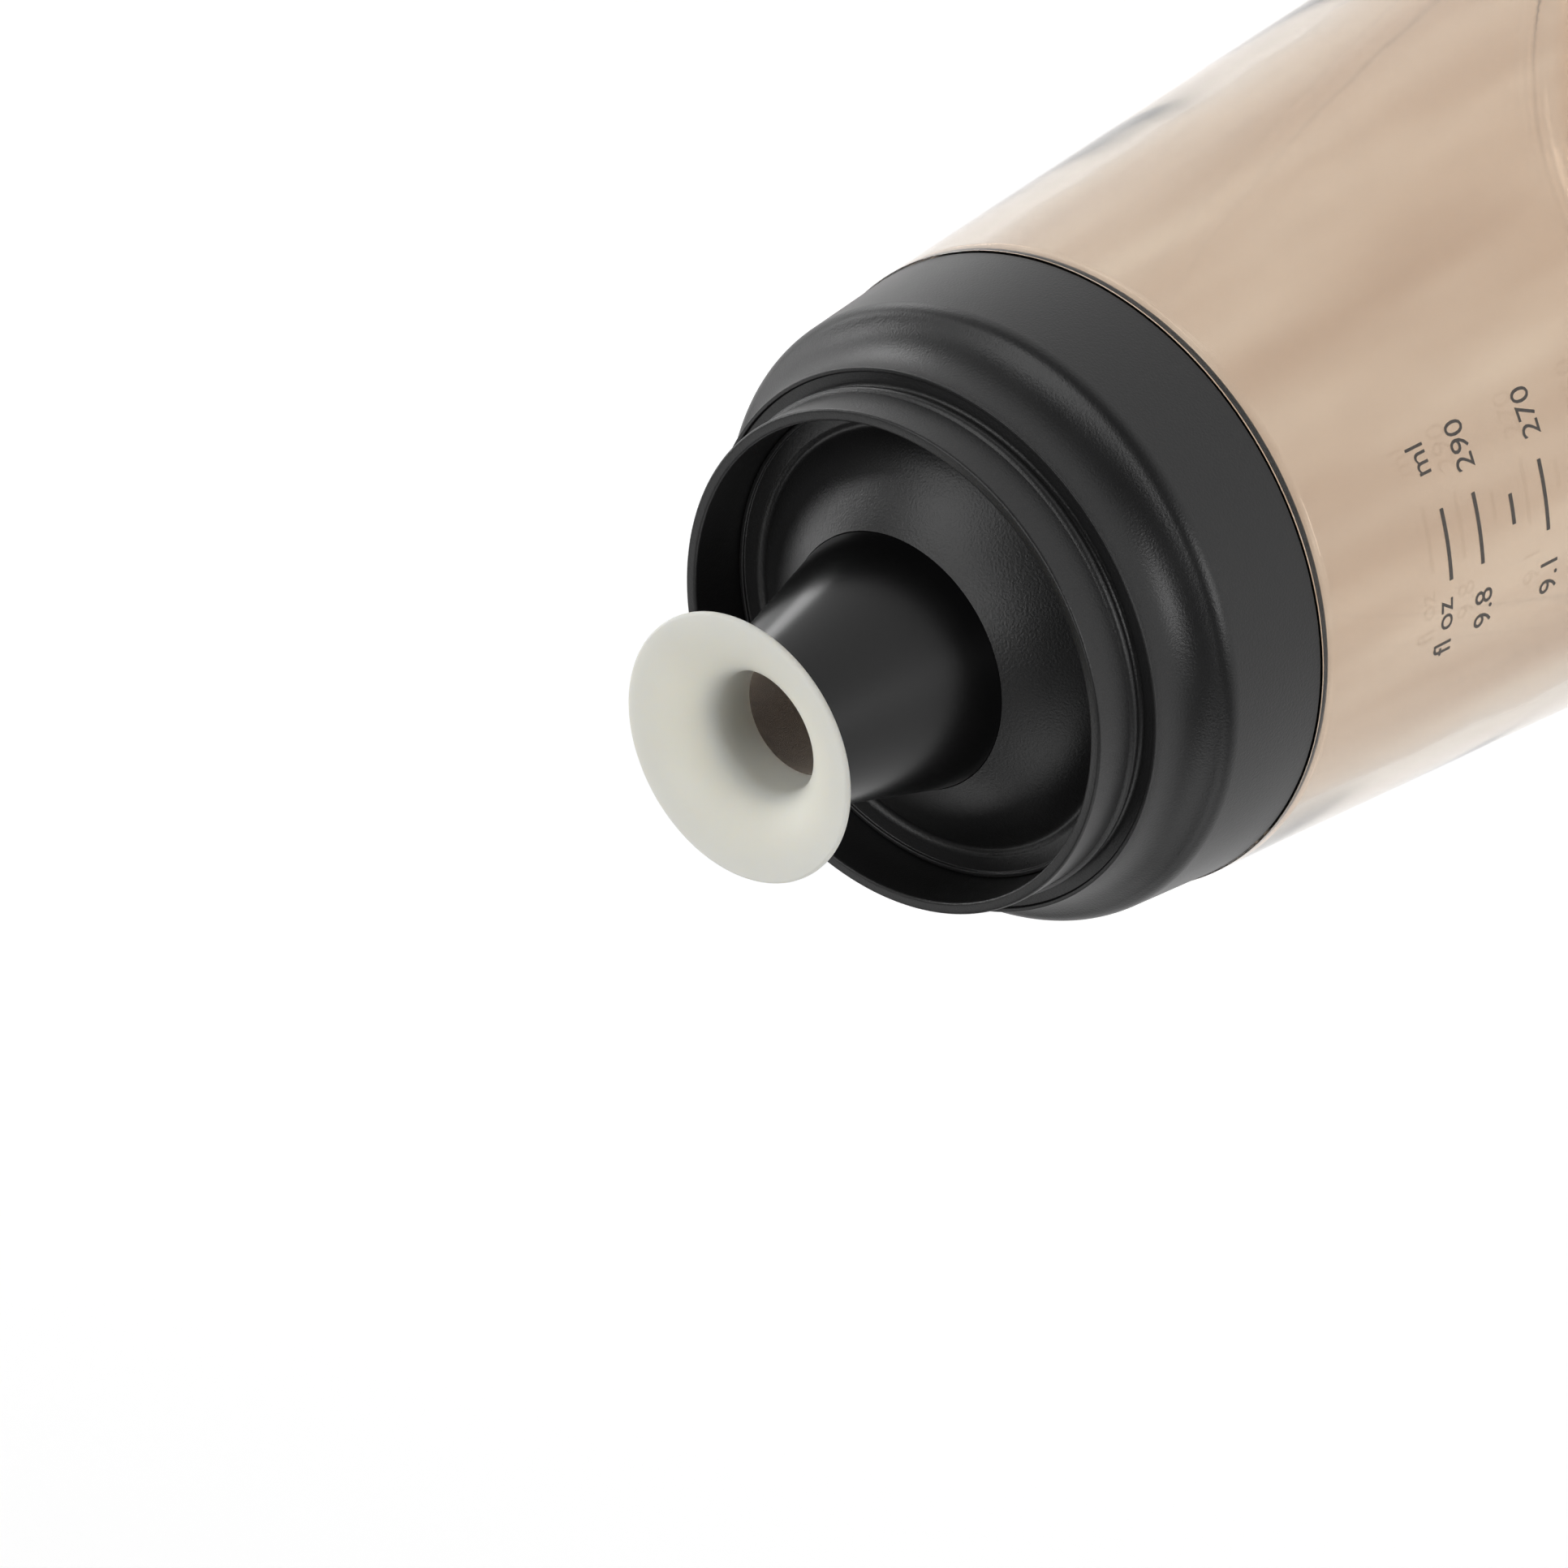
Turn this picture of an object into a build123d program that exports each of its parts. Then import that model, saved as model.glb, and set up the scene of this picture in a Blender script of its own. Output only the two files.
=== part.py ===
from build123d import *
import os
from math import hypot

# Shaker bottle for salad dressing, open for pouring. Millimetres, +Z up.
# The origin is the middle of the beaker's underside, and the bottle stands on it.

# Beaker: outer sizes, walls and the neck that carries the lid
shoulder_height = 116.0
base_radius = 37.0
shoulder_radius = 28.4
shoulder_step = 3.6
beaker_wall = 2.0
beaker_floor = 3.0
base_corner = 4.0
inside_corner = 3.5
foot_ring_width = 3.0
base_recess = 0.8
foot_ring_round = 0.35
shoulder_round = 0.9
neck_wall = 1.8
neck_height = 9.2
neck_root_round = 0.6
neck_rim_round = 0.5

# Lid collar: band, cove, groove and the open neck that a cap pushes onto
seating_gap = 0.3
collar_wall = 2.1
band_height = 10.3
band_draft = 0.85
band_top_round = 1.8
cove_top_height = 15.9
cove_hollow = 0.85
lip_land = 0.4
groove_depth = 1.2
groove_width = 1.4
groove_round = 0.4
cap_neck_inset = 5.9
cap_neck_wall = 1.05
cap_neck_height = 20.9
cap_rim_round = 0.3
snap_bead_height = 16.6
snap_bead_proud = 0.4
snap_bead_half_width = 0.5
skirt_clearance = 1.1
skirt_edge_chamfer = 0.5
edge_round = 0.3
cove_edge_round = 0.1
insert_seat_width = 1.85
insert_seat_height = 12.4

# Seals
lid_seal_thickness = 1.4
lid_seal_width = 2.2
seal_side_clearance = 0.2
seal_top_clearance = 0.1
insert_seal_thickness = 0.8
insert_seal_inset = 0.15
seal_edge_round = 0.25

# Drip dish: the flange, the ledge, the gutter and the dome round the spout
fit_clearance = 0.05
dish_wall = 1.2
ledge_height = 15.2
ledge_width = 2.55
ledge_outer_drop = 0.3
ledge_inner_round = 0.8
gutter_height = 13.2
gutter_width = 0.45
gutter_radius = 0.3
dome_top_height = 20.2
dome_hole_radius = 11.34
dome_curve_radius = 17.0

# Spout: a cone that comes up through the dish from a foot below its dome
spout_tip_radius = 6.93
spout_tip_height = 36.4
spout_wall = 1.3
spout_foot_wall = 1.2
spout_foot_trim = 0.5
spout_socket_radius = 5.95
spout_socket_depth = 4.5
spout_tip_round = 0.25

# Pouring lip: a soft trumpet whose sleeve pushes into the spout
lip_radius = 11.7
lip_rise = 3.5
lip_bore_inset = 0.6
lip_edge_thickness = 0.6
lip_edge_round = 0.25
lip_throat_depth = 0.8
lip_sleeve_short = 0.3
lip_seat_clearance = 0.1
lip_face_share = 0.35
lip_throat_share = 0.6
lip_root_share = 0.3
lip_under_share = 0.45

# Heights and radii that follow from the sizes above
lid_base = shoulder_height + seating_gap
neck_radius = shoulder_radius - shoulder_step
neck_top = shoulder_height + neck_height
side_length = hypot(shoulder_height, base_radius - shoulder_radius)
side_wall = beaker_wall * side_length / shoulder_height
taper = (base_radius - shoulder_radius) / shoulder_height
neck_bore = neck_radius - neck_wall
skirt_bore = neck_radius + skirt_clearance
collar_radius = skirt_bore + collar_wall
band_top_radius = collar_radius - band_draft
cap_neck_radius = collar_radius - cap_neck_inset
cap_neck_bore = cap_neck_radius - cap_neck_wall
groove_outer = cap_neck_radius + groove_width
cove_top_radius = groove_outer + lip_land
throat_radius = cap_neck_bore - insert_seat_width
lid_seal_outer = neck_radius + seal_side_clearance
lid_seal_inner = lid_seal_outer - lid_seal_width
lid_seal_bottom = neck_top + seating_gap
lid_seal_top = lid_seal_bottom + lid_seal_thickness
ceiling = lid_seal_top + seal_top_clearance
seal_recess_radius = lid_seal_outer + seal_side_clearance
insert_seat = lid_base + insert_seat_height
flange_bottom = insert_seat + insert_seal_thickness
flange_radius = cap_neck_bore - fit_clearance
ledge_inner_radius = flange_radius - ledge_width
dome_foot_radius = ledge_inner_radius - gutter_width
band_top = lid_base + band_height
cove_top = lid_base + cove_top_height
groove_floor = cove_top - groove_depth
rim_top = lid_base + cap_neck_height
ledge_top = lid_base + ledge_height
gutter_bottom = lid_base + gutter_height
dome_top = lid_base + dome_top_height
tip_top = lid_base + spout_tip_height
socket_bottom = tip_top - spout_socket_depth
lip_top = tip_top + lip_rise
lip_throat = tip_top - lip_throat_depth


def arc_centre(start, end, radius):
    """Centre of the arc from start to end that bulges away from the bottle's axis."""
    chord_r = end[0] - start[0]
    chord_z = end[1] - start[1]
    chord = hypot(chord_r, chord_z)
    reach = (radius**2 - (chord / 2)**2)**0.5
    middle_r = (start[0] + end[0]) / 2
    middle_z = (start[1] + end[1]) / 2
    return middle_r + chord_z / chord * reach, middle_z - chord_r / chord * reach


def on_circle(centre, radius, point):
    """The point where the ray from centre through point meets the circle of this radius."""
    reach = hypot(point[0] - centre[0], point[1] - centre[1])
    scale = radius / reach
    return centre[0] + (point[0] - centre[0]) * scale, centre[1] + (point[1] - centre[1]) * scale


def corners(profile, *points):
    """The corners of a profile that stand at these points."""
    return [min(profile.vertices(), key=lambda v: hypot(v.X - r, v.Y - z)) for r, z in points]


def radius_on_circle(centre, radius, height):
    """How far from the axis the circle's outer side stands at this height."""
    return centre[0] + (radius**2 - (height - centre[1])**2)**0.5


def height_on_circle(centre, radius, reach):
    """How high the circle's upper side stands at this distance from the axis."""
    return centre[1] + (radius**2 - (reach - centre[0])**2)**0.5


def mid_arc(centre, radius, start, end):
    """The middle of the arc of this radius between the rays to start and end."""
    return on_circle(centre, radius, ((start[0] + end[0]) / 2, (start[1] + end[1]) / 2))


# Beaker: one tapered shell with a stepped-in neck and a recessed base
inner_shoulder_radius = shoulder_radius - side_wall + taper * beaker_wall
inner_floor_radius = base_radius - taper * beaker_floor - side_wall
inner_shoulder = shoulder_height - beaker_wall
foot_inner_edge = base_radius - base_corner - foot_ring_width
with BuildPart() as beaker:
    with BuildSketch(Plane.XZ) as profile:
        with BuildLine():
            Polyline(
                (0, base_recess),
                (foot_inner_edge, base_recess),
                (foot_inner_edge + base_recess, 0),
                (base_radius, 0),
                (shoulder_radius, shoulder_height),
                (neck_radius, shoulder_height),
                (neck_radius, neck_top),
                (neck_bore, neck_top),
                (neck_bore, inner_shoulder),
                (inner_shoulder_radius, inner_shoulder),
                (inner_floor_radius, beaker_floor),
                (0, beaker_floor),
                close=True,
            )
        make_face()
        fillet(corners(profile, (base_radius, 0)), base_corner)
        fillet(corners(profile, (inner_floor_radius, beaker_floor)), inside_corner)
        fillet(corners(profile, (foot_inner_edge, base_recess), (foot_inner_edge + base_recess, 0)), foot_ring_round)
        fillet(corners(profile, (shoulder_radius, shoulder_height)), shoulder_round)
        fillet(corners(profile, (neck_radius, shoulder_height)), neck_root_round)
        fillet(corners(profile, (neck_radius, neck_top), (neck_bore, neck_top)), neck_rim_round)
        fillet(corners(profile, (neck_bore, inner_shoulder), (inner_shoulder_radius, inner_shoulder)), shoulder_round)
    revolve(axis=Axis.Z)
beaker.part.label = "beaker"

# Lid collar: band, cove, groove and cap neck outside, skirt, seal seat and insert seat inside
cove_middle = ((band_top_radius + cove_top_radius) / 2 - cove_hollow, (band_top + cove_top) / 2 - cove_hollow)
bead_middle = lid_base + snap_bead_height
bead_low = bead_middle - snap_bead_half_width
bead_high = bead_middle + snap_bead_half_width
with BuildPart() as lid_collar:
    with BuildSketch(Plane.XZ) as profile:
        with BuildLine():
            Line((collar_radius, lid_base), (band_top_radius, band_top))
            ThreePointArc((band_top_radius, band_top), cove_middle, (cove_top_radius, cove_top))
            Polyline(
                (cove_top_radius, cove_top),
                (groove_outer, cove_top),
                (groove_outer, groove_floor),
                (cap_neck_radius, groove_floor),
                (cap_neck_radius, bead_low),
            )
            ThreePointArc(
                (cap_neck_radius, bead_low),
                (cap_neck_radius + snap_bead_proud, bead_middle),
                (cap_neck_radius, bead_high),
            )
            Polyline(
                (cap_neck_radius, bead_high),
                (cap_neck_radius, rim_top),
                (cap_neck_bore, rim_top),
                (cap_neck_bore, insert_seat),
                (throat_radius, insert_seat),
                (throat_radius, ceiling),
                (seal_recess_radius, ceiling),
                (seal_recess_radius, lid_seal_bottom),
                (skirt_bore, lid_seal_bottom),
                (skirt_bore, lid_base),
                (collar_radius, lid_base),
            )
        make_face()
        fillet(corners(profile, (cap_neck_radius, rim_top), (cap_neck_bore, rim_top)), cap_rim_round)
        fillet(corners(profile, (groove_outer, groove_floor), (cap_neck_radius, groove_floor)), groove_round)
        fillet(corners(profile, (band_top_radius, band_top)), band_top_round)
        fillet(corners(profile, (collar_radius, lid_base)), edge_round)
        fillet(corners(profile, (cove_top_radius, cove_top), (groove_outer, cove_top)), cove_edge_round)
        fillet(corners(profile, (skirt_bore, lid_seal_bottom)), edge_round)
        chamfer(corners(profile, (skirt_bore, lid_base)), skirt_edge_chamfer)
    revolve(axis=Axis.Z)
lid_collar.part.label = "lid_collar"

# Lid seal: the flat ring between the beaker's rim and the lid
with BuildPart() as lid_seal:
    with BuildSketch(Plane.XZ) as profile:
        with BuildLine():
            Polyline(
                (lid_seal_inner, lid_seal_bottom),
                (lid_seal_outer, lid_seal_bottom),
                (lid_seal_outer, lid_seal_top),
                (lid_seal_inner, lid_seal_top),
                close=True,
            )
        make_face()
        fillet(profile.vertices(), seal_edge_round)
    revolve(axis=Axis.Z)
lid_seal.part.label = "lid_seal"

# Insert seal: the thin flat ring below the dish's flange
with BuildPart() as insert_seal:
    with BuildSketch(Plane.XY.offset(insert_seat)):
        Circle(cap_neck_bore - insert_seal_inset)
        Circle(throat_radius + insert_seal_inset, mode=Mode.SUBTRACT)
    extrude(amount=insert_seal_thickness)
insert_seal.part.label = "insert_seal"

# Drip dish: a moulded ring of even wall, with the dome's two faces on one centre
dome_start = (dome_hole_radius, dome_top)
dome_end = (dome_foot_radius, gutter_bottom + gutter_radius / 2)
dome_centre = arc_centre(dome_start, dome_end, dome_curve_radius)
under_radius = dome_curve_radius - dish_wall
under_foot = on_circle(dome_centre, under_radius, dome_end)
under_top = (dome_hole_radius, height_on_circle(dome_centre, under_radius, dome_hole_radius))
under_gutter = gutter_bottom - dish_wall
gutter_middle = ((dome_foot_radius + ledge_inner_radius) / 2, gutter_bottom)
gutter_end = (ledge_inner_radius, gutter_bottom + gutter_radius)
hub_radius = throat_radius - fit_clearance
with BuildPart() as drip_dish:
    with BuildSketch(Plane.XZ) as profile:
        with BuildLine():
            ThreePointArc(dome_start, mid_arc(dome_centre, dome_curve_radius, dome_start, dome_end), dome_end)
            ThreePointArc(dome_end, gutter_middle, gutter_end)
            Polyline(
                gutter_end,
                (ledge_inner_radius, ledge_top),
                (flange_radius - ledge_outer_drop, ledge_top),
                (flange_radius, ledge_top - ledge_outer_drop),
                (flange_radius, flange_bottom),
                (hub_radius, flange_bottom),
                (hub_radius, under_gutter),
                (under_foot[0], under_gutter),
                under_foot,
            )
            ThreePointArc(under_foot, mid_arc(dome_centre, under_radius, under_top, under_foot), under_top)
            Line(under_top, dome_start)
        make_face()
        fillet(corners(profile, (ledge_inner_radius, ledge_top)), ledge_inner_round)
        fillet(corners(profile, (flange_radius - ledge_outer_drop, ledge_top)), ledge_outer_drop)
    revolve(axis=Axis.Z)
drip_dish.part.label = "drip_dish"

# Spout: a foot nested under the dome, a cone through its hole and a socket for the pouring lip
nest_radius = under_radius - fit_clearance
foot_inner_radius = nest_radius - spout_foot_wall
spout_base_radius = dome_hole_radius - fit_clearance
bore_base_radius = spout_base_radius - spout_wall
foot_height = under_foot[1] + spout_foot_trim
foot_outer = (radius_on_circle(dome_centre, nest_radius, foot_height), foot_height)
foot_inner = (radius_on_circle(dome_centre, foot_inner_radius, foot_height), foot_height)
nest_top = (spout_base_radius, height_on_circle(dome_centre, nest_radius, spout_base_radius))
bore_base = (bore_base_radius, height_on_circle(dome_centre, foot_inner_radius, bore_base_radius))
with BuildPart() as spout:
    with BuildSketch(Plane.XZ) as profile:
        with BuildLine():
            ThreePointArc(foot_outer, mid_arc(dome_centre, nest_radius, foot_outer, nest_top), nest_top)
            Polyline(
                nest_top,
                (spout_base_radius, dome_top),
                (spout_tip_radius, tip_top),
                (spout_socket_radius, tip_top),
                (spout_socket_radius, socket_bottom),
                bore_base,
            )
            ThreePointArc(bore_base, mid_arc(dome_centre, foot_inner_radius, bore_base, foot_inner), foot_inner)
            Line(foot_inner, foot_outer)
        make_face()
        fillet(corners(profile, (spout_tip_radius, tip_top)), spout_tip_round)
        fillet(corners(profile, bore_base), spout_wall)
    revolve(axis=Axis.Z)
spout.part.label = "spout"

# Pouring lip: sleeve, seat on the spout's tip, and a trumpet that opens to a thin edge
sleeve_radius = spout_socket_radius - fit_clearance
sleeve_bottom = socket_bottom + lip_sleeve_short
seat_height = tip_top + lip_seat_clearance
edge_bottom = lip_top - lip_edge_thickness
lip_bore = sleeve_radius - lip_bore_inset
lip_reach = lip_radius - spout_tip_radius
lip_face = lip_radius - lip_bore
lip_drop = lip_top - lip_throat
root = (spout_tip_radius + lip_reach * lip_root_share, seat_height + (edge_bottom - seat_height) * lip_root_share)
under = (lip_radius - lip_reach * lip_under_share, edge_bottom)
face = (lip_radius - lip_face * lip_face_share, lip_top)
throat = (lip_bore, lip_throat + lip_drop * lip_throat_share)
with BuildPart() as pour_lip:
    with BuildSketch(Plane.XZ) as profile:
        with BuildLine():
            Polyline(
                (lip_bore, lip_throat),
                (lip_bore, sleeve_bottom),
                (sleeve_radius, sleeve_bottom),
                (sleeve_radius, seat_height),
                (spout_tip_radius, seat_height),
            )
            Bezier((spout_tip_radius, seat_height), root, under, (lip_radius, edge_bottom))
            Line((lip_radius, edge_bottom), (lip_radius, lip_top))
            Bezier((lip_radius, lip_top), face, throat, (lip_bore, lip_throat))
        make_face()
        fillet(corners(profile, (lip_radius, edge_bottom), (lip_radius, lip_top)), lip_edge_round)
    revolve(axis=Axis.Z)
pour_lip.part.label = "pour_lip"

os.makedirs("parts", exist_ok=True)
for piece in (beaker, lid_collar, lid_seal, insert_seal, drip_dish, spout, pour_lip):
    export_step(piece.part, f"parts/{piece.part.label}.step")
    print(piece.part.label, "volume", round(piece.part.volume), "mm3")
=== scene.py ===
"""Salad dressing shaker bottle, dressed for its picture.

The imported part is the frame: its nodes say where everything stands. Each visible piece is modelled again
with a finer mesh of nearly the same outline, gets its finish, and rides on the body that carries it.
Lengths are in metres, +Z is up, and the origin is the middle of the beaker's underside.
"""

from __future__ import annotations

import logging
import math
from contextlib import contextmanager
from dataclasses import dataclass, field, replace
from enum import Enum
from typing import Iterator, Sequence

import bmesh
import bpy
from mathutils import Matrix, Vector

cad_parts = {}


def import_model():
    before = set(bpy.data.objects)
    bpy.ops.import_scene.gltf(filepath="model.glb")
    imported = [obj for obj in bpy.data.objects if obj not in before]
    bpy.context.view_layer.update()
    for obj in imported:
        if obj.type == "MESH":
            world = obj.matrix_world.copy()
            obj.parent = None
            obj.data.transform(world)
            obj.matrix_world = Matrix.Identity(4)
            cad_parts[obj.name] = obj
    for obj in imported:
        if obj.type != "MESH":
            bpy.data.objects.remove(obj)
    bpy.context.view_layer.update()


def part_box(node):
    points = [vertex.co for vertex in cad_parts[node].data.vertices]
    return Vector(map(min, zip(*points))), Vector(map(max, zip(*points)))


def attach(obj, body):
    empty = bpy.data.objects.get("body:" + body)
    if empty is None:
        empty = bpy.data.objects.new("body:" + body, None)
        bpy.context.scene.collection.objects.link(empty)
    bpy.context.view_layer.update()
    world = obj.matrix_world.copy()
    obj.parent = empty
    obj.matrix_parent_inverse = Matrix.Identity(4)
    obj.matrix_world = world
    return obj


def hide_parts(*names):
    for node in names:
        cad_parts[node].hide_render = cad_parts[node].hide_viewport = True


LOG = logging.getLogger("shaker")

Span = tuple[float, float]
Point = tuple[float, float]
Colour = tuple[float, float, float]
Piece = bpy.types.Object
Material = bpy.types.Material
Socket = bpy.types.NodeSocket
# A radius and a height, with the radius of its round where it has one
Corner = tuple[float, ...]

# How finely the turned pieces are divided
SEGMENTS = 256
ARC_STEPS = 12
ROUND_STEPS = 4
SMOOTH_ANGLE = math.radians(28.0)
WELD = 1e-6
RING_TOLERANCE = 4e-6

# The part of a noise's range that is spread over a pattern
NOISE_SPAN = (0.3, 0.7)

WHITE = (1.0, 1.0, 1.0, 1.0)
EASED = "SMOOTHSTEP"
MILLILITRE = 1e-6


class Body(str, Enum):
    """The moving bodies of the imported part."""

    BEAKER = "beaker"
    LIFT = "lid_lift"
    LID = "lid"
    LIP = "lip"


class Slot(str, Enum):
    """The record's material slots."""

    CLEAR = "clear_plastic"
    MATTE_BLACK = "matte_black_plastic"
    SATIN_BLACK = "satin_black_plastic"
    SILICONE = "white_silicone"
    SEAL = "seal_silicone"


class Side(str, Enum):
    """How a line of print stands beside its place."""

    CENTRE = "CENTER"
    RIGHT = "RIGHT"


@dataclass(frozen=True)
class Pattern:
    """A noise in a piece's own coordinates.

    Attributes:
        size: The size of its lumps.
        detail: How many finer layers it has.
        stretch: How many times longer its lumps are along the bottle's axis.
    """

    size: float
    detail: float = 3.0
    stretch: float = 1.0


@dataclass(frozen=True)
class Relief(Pattern):
    """A pattern that stands out from a surface.

    Attributes:
        depth: How deep it is.
        strength: How much of it shows.
    """

    depth: float = 0.0
    strength: float = 1.0


class NodeSheet:
    """A material's or the world's node tree, with short calls to fill it."""

    def __init__(self, owner: bpy.types.ID) -> None:
        """Starts an empty tree on a material or world.

        Args:
            owner: The material or world.
        """
        owner.use_nodes = True
        self.tree = owner.node_tree
        self.tree.nodes.clear()

    def add(self, kind: str, **inputs: object) -> bpy.types.Node:
        """Adds a node and sets its named inputs.

        Args:
            kind: The node's type name without its ShaderNode start.
            inputs: Input names, with underscores for spaces, and their values.

        Returns:
            The new node.
        """
        node = self.tree.nodes.new("ShaderNode" + kind)
        for name, value in inputs.items():
            node.inputs[name.replace("_", " ")].default_value = value
        return node

    def join(self, source: Socket, target: Socket) -> None:
        """Links an output to an input."""
        self.tree.links.new(source, target)

    def surface(self, shader: Socket, output: str = "OutputMaterial") -> None:
        """Sends a shader to the tree's output."""
        self.join(shader, self.add(output).inputs["Surface"])

    def combine(self, kind: str, operation: str, *terms: Socket) -> Socket:
        """Adds a node that calculates one value.

        Args:
            kind: Math or VectorMath.
            operation: What it does.
            terms: What it does it to.

        Returns:
            Its result.
        """
        node = self.add(kind)
        node.operation = operation
        for term, place in zip(terms, node.inputs):
            self.join(term, place)
        return node.outputs["Value"]

    def any_ray(self, *names: str) -> Socket:
        """Tells the rays of some kinds from the others.

        Args:
            names: Their names on the Light Path node.

        Returns:
            A value of 1 for these rays and 0 for the others.
        """
        rays = self.add("LightPath")
        total = rays.outputs[names[0]]
        for name in names[1:]:
            total = self.combine("Math", "MAXIMUM", total, rays.outputs[name])
        return total

    def mix(self, share: Socket, one: Socket, other: Socket) -> Socket:
        """Mixes two shaders.

        Args:
            share: How much of the other one there is.
            one: The shader at 0.
            other: The shader at 1.

        Returns:
            The mixed shader.
        """
        mixed = self.add("MixShader")
        for source, place in zip((share, one, other), mixed.inputs):
            self.join(source, place)
        return mixed.outputs["Shader"]

    def spread(self, value: Socket, span: Span, ends: Span, easing: str = "LINEAR") -> Socket:
        """Goes from one number to another while a value crosses a span.

        Args:
            value: The value.
            span: The values at which it starts and ends.
            ends: The numbers before and after it.
            easing: How it goes, by its name on the Map Range node.

        Returns:
            The number.
        """
        ramp = self.add("MapRange", From_Min=span[0], From_Max=span[1], To_Min=ends[0], To_Max=ends[1])
        ramp.interpolation_type = easing
        self.join(value, ramp.inputs["Value"])
        return ramp.outputs["Result"]

    def noise(self, pattern: Pattern) -> Socket:
        """Adds a pattern.

        Args:
            pattern: The pattern.

        Returns:
            Its grey value.
        """
        drawn = self.add("Mapping", Scale=(1.0, 1.0, 1.0 / pattern.stretch))
        lumps = self.add("TexNoise", Scale=1.0 / pattern.size, Detail=pattern.detail)
        self.join(self.add("TexCoord").outputs["Object"], drawn.inputs["Vector"])
        self.join(drawn.outputs["Vector"], lumps.inputs["Vector"])
        return lumps.outputs["Fac"]

    def blend(self, fac: Socket, colours: tuple[Colour, Colour]) -> Socket:
        """Mixes two colours by a grey value.

        Args:
            fac: The grey value.
            colours: The colours at its dark and its light end.

        Returns:
            The mixed colour.
        """
        ramp = self.add("ValToRGB")
        for stop, place, colour in zip(ramp.color_ramp.elements, NOISE_SPAN, colours):
            stop.position = place
            stop.color = (*colour, 1.0)
        self.join(fac, ramp.inputs["Fac"])
        return ramp.outputs["Color"]

    def bumps(self, relief: Relief) -> Socket:
        """Adds a fine relief.

        Args:
            relief: The relief.

        Returns:
            Its normal.
        """
        raised = self.add("Bump", Strength=relief.strength, Distance=relief.depth)
        self.join(self.noise(relief), raised.inputs["Height"])
        return raised.outputs["Normal"]


def shades(colour: Colour, low: float, high: float) -> tuple[Colour, Colour]:
    """The colour with its brightness multiplied by two shares."""
    return tuple(tuple(channel * share for channel in colour) for share in (low, high))


@dataclass(frozen=True)
class Finish:
    """A surface's finish, a little uneven in colour and gloss.

    Attributes:
        name: The material's name.
        colours: Its colours in its darkest and lightest patches.
        roughness: Its roughness in the same patches.
        patches: The pattern of its colour.
        smears: The pattern of its roughness. Without one, roughness follows the colour.
        relief: Its fine relief.
        clear_to_lamps: True if light from the lamps passes it straight, so that it isn't dark behind.
        inputs: What else is set on the Principled surface.
    """

    name: str
    colours: tuple[Colour, Colour]
    roughness: Span
    patches: Pattern
    smears: Pattern | None = None
    relief: Relief | None = None
    clear_to_lamps: bool = False
    inputs: dict[str, object] = field(default_factory=dict)

    def build(self) -> Material:
        """Makes the material.

        Returns:
            The material.
        """
        material = bpy.data.materials.new(self.name)
        sheet = NodeSheet(material)
        skin = sheet.add("BsdfPrincipled", **self.inputs)
        patches = sheet.noise(self.patches)
        smears = patches if self.smears is None else sheet.noise(self.smears)
        colours = sheet.blend(patches, self.colours)
        sheet.join(colours, skin.inputs["Base Color"])
        sheet.join(sheet.spread(smears, NOISE_SPAN, self.roughness), skin.inputs["Roughness"])
        if self.relief is not None:
            sheet.join(sheet.bumps(self.relief), skin.inputs["Normal"])
        shader = skin.outputs["BSDF"]
        if self.clear_to_lamps:
            passing = sheet.add("BsdfTransparent")
            sheet.join(colours, passing.inputs["Color"])
            shader = sheet.mix(sheet.any_ray("Is Shadow Ray"), shader, passing.outputs["BSDF"])
        sheet.surface(shader)
        return material


# Black plastic from an eroded mould, with its fine grain
MATTE_BLACK = Finish(
    "matte_black",
    shades((0.0105, 0.0105, 0.0108), 0.85, 1.15),
    roughness=(0.37, 0.43),
    patches=Pattern(0.012),
    relief=Relief(0.0002, 2.0, depth=0.00004, strength=0.7),
    inputs={"Specular_IOR_Level": 0.48},
)
# The same plastic from a smoother mould
SATIN_BLACK = replace(
    MATTE_BLACK,
    name="satin_black",
    colours=shades((0.005, 0.005, 0.0052), 0.85, 1.15),
    roughness=(0.21, 0.27),
    relief=Relief(0.00045, 2.0, depth=0.00001, strength=0.15),
    inputs={"Specular_IOR_Level": 0.42},
)
# Clear plastic with a warm tint, drawn out in lengthwise streaks, and the faint waves of its mould
CLEAR_BEAKER = Finish(
    "clear_beaker",
    ((0.66, 0.555, 0.46), (0.80, 0.72, 0.63)),
    roughness=(0.015, 0.045),
    patches=Pattern(0.007, 1.5, 9.0),
    smears=Pattern(0.018),
    relief=Relief(0.022, 1.0, depth=0.0006, strength=0.35),
    clear_to_lamps=True,
    inputs={"IOR": 1.5, "Transmission_Weight": 1.0},
)
# Soft moulded silicone with a powdery skin, which lets a little light in
WHITE_SILICONE = Finish(
    "white_silicone",
    shades((0.80, 0.785, 0.70), 0.975, 1.0),
    roughness=(0.40, 0.50),
    patches=Pattern(0.006),
    relief=Relief(0.0003, 2.0, depth=0.00001, strength=0.25),
    inputs={
        "IOR": 1.41,
        "Subsurface_Radius": (1.0, 0.85, 0.65),
        "Subsurface_Weight": 0.5,
        "Subsurface_Scale": 0.003,
    },
)
# Grey silicone that lets in less
SEAL_SILICONE = replace(
    WHITE_SILICONE,
    name="seal_silicone",
    colours=shades((0.42, 0.42, 0.41), 0.975, 1.0),
    roughness=(0.45, 0.55),
    inputs={**WHITE_SILICONE.inputs, "Subsurface_Weight": 0.3, "Subsurface_Scale": 0.002},
)
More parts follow.
